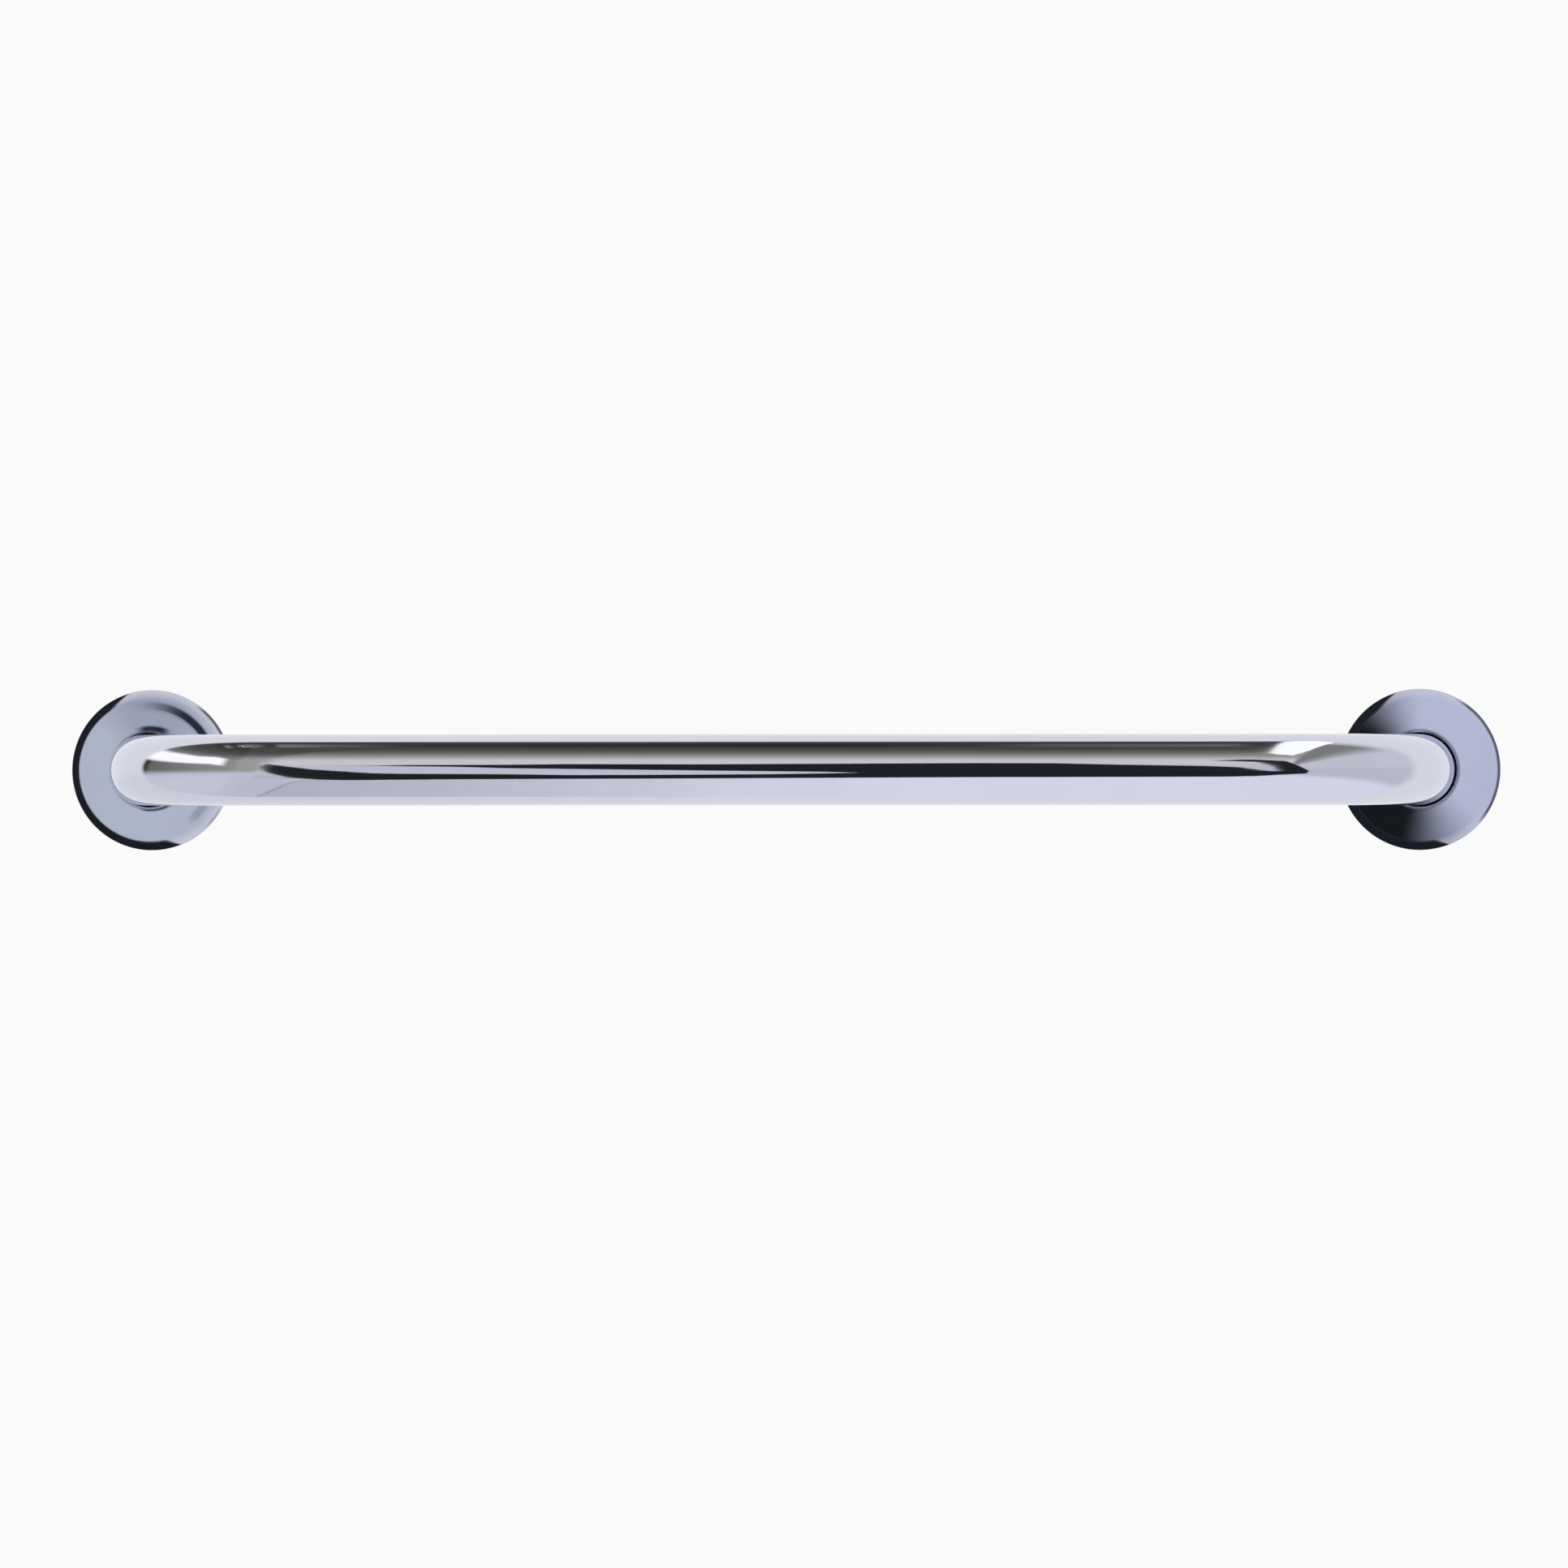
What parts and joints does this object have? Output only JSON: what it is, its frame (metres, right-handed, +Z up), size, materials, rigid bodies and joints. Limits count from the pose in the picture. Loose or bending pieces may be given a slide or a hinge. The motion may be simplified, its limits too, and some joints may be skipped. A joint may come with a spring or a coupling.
{
  "type": "towel rail",
  "caption": "Straight chromed rail whose ends bend back to the wall, fixed by hidden screw plates under sliding round cover flanges, for hanging towels.",
  "frame": {"origin": "on the wall plane, midway between the centres of the feet", "axes": "+X along the rail to the right as seen from the room, +Y into the wall, +Z up; the rail stands off the wall towards -Y"},
  "size_m": [0.507, 0.08, 0.057],
  "materials": {
    "chrome": "polished chrome plate",
    "plate_steel": "plain satin steel"
  },
  "bodies": {
    "rail": {"rail_tube": "chrome", "left_fixing_plate": "plate_steel", "right_fixing_plate": "plate_steel"},
    "left_cover": {"left_cover_flange": "chrome"},
    "right_cover": {"right_cover_flange": "chrome"}
  },
  "joints": [
    {"name": "left_cover_slide", "type": "slide", "parent": "rail", "child": "left_cover", "axis": [0, -1, 0], "range_m": [0, 0.015]},
    {"name": "right_cover_slide", "type": "slide", "parent": "rail", "child": "right_cover", "axis": [0, -1, 0], "range_m": [0, 0.015]}
  ]
}
